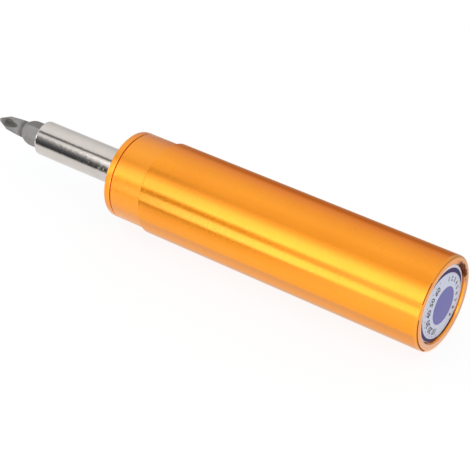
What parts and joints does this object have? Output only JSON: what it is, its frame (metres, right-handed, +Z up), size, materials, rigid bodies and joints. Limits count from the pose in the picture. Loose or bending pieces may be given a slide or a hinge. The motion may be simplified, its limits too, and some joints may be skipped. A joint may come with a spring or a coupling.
{
  "type": "preset torque screwdriver",
  "caption": "Preset torque screwdriver with a round anodised grip, a spring-loaded ball clutch inside, a plain nose collar, and a round magnetic bit sleeve with a cross-tip insert bit.",
  "frame": {"origin": "middle of the footprint at the plane that the lying tool rests on", "axes": "+X along the tool from the bit's tip to the rear rim, +Z up from the plane it lies on"},
  "size_m": [0.147, 0.026, 0.026],
  "materials": {
    "orange_anodised": "polished, turned and anodised",
    "orange_satin": "satin, turned and anodised",
    "label_film": "printed film",
    "black_plastic": "moulded",
    "bright_steel": "ground",
    "spring_steel": "drawn wire",
    "dark_steel": "hardened and oiled",
    "bronze": "turned",
    "nickelled_steel": "turned and nickel plated",
    "magnet_nickel": "nickel plated",
    "bit_steel": "phosphated"
  },
  "bodies": {
    "handle": {"barrel": "orange_anodised", "nose_collar": "orange_satin", "front_cap": "orange_satin", "front_bush": "bronze", "front_thrust_washer": "bright_steel", "drive_pin_1": "bright_steel", "drive_pin_2": "bright_steel", "drive_pin_3": "bright_steel", "main_spring": "spring_steel"},
    "rear_plug": {"end_plug": "black_plastic", "calibration_label": "label_film"},
    "spring_carrier": {"rear_thrust_washer": "bright_steel", "spring_seat": "bright_steel"},
    "adjuster": {"adjuster_screw": "bright_steel"},
    "clutch": {"clutch_plate": "dark_steel", "clutch_ball_1": "bright_steel", "clutch_ball_2": "bright_steel", "clutch_ball_3": "bright_steel", "clutch_ball_4": "bright_steel", "clutch_ball_5": "bright_steel", "clutch_ball_6": "bright_steel"},
    "driver": {"spindle": "dark_steel", "bit_sleeve": "nickelled_steel", "sleeve_pin": "bright_steel", "magnet": "magnet_nickel"},
    "bit": {"screwdriver_bit": "bit_steel"}
  },
  "joints": [
    {"name": "spindle_slip", "type": "hinge", "parent": "handle", "child": "driver", "pos_m": [0, 0, 0.01299], "axis": [1, 0, 0], "range_deg": [0, 36], "stiffness_Nm_per_rad": 0.02},
    {"name": "plate_lift", "type": "slide", "parent": "handle", "child": "clutch", "axis": [1, 0, 0], "range_m": [0, 0.00098], "deforming": ["main_spring"]},
    {"name": "bit_pull", "type": "slide", "parent": "driver", "child": "bit", "axis": [-1, 0, 0], "range_m": [0, 0.012]},
    {"name": "adjuster_travel", "type": "slide", "parent": "handle", "child": "spring_carrier", "axis": [-1, 0, 0], "range_m": [-0.0024, 0.0038], "deforming": ["main_spring"]},
    {"name": "adjuster_turn", "type": "hinge", "parent": "spring_carrier", "child": "adjuster", "pos_m": [0, 0, 0.01299], "axis": [-1, 0, 0], "range_deg": [-866, 1370]},
    {"name": "end_plug_pull", "type": "slide", "parent": "handle", "child": "rear_plug", "axis": [1, 0, 0], "range_m": [0, 0.01]}
  ],
  "couplings": [
    {"joint": "spindle_slip", "follows": "plate_lift", "rad_per_m": 638.14},
    {"joint": "adjuster_turn", "follows": "adjuster_travel", "rad_per_m": 6283.2}
  ]
}
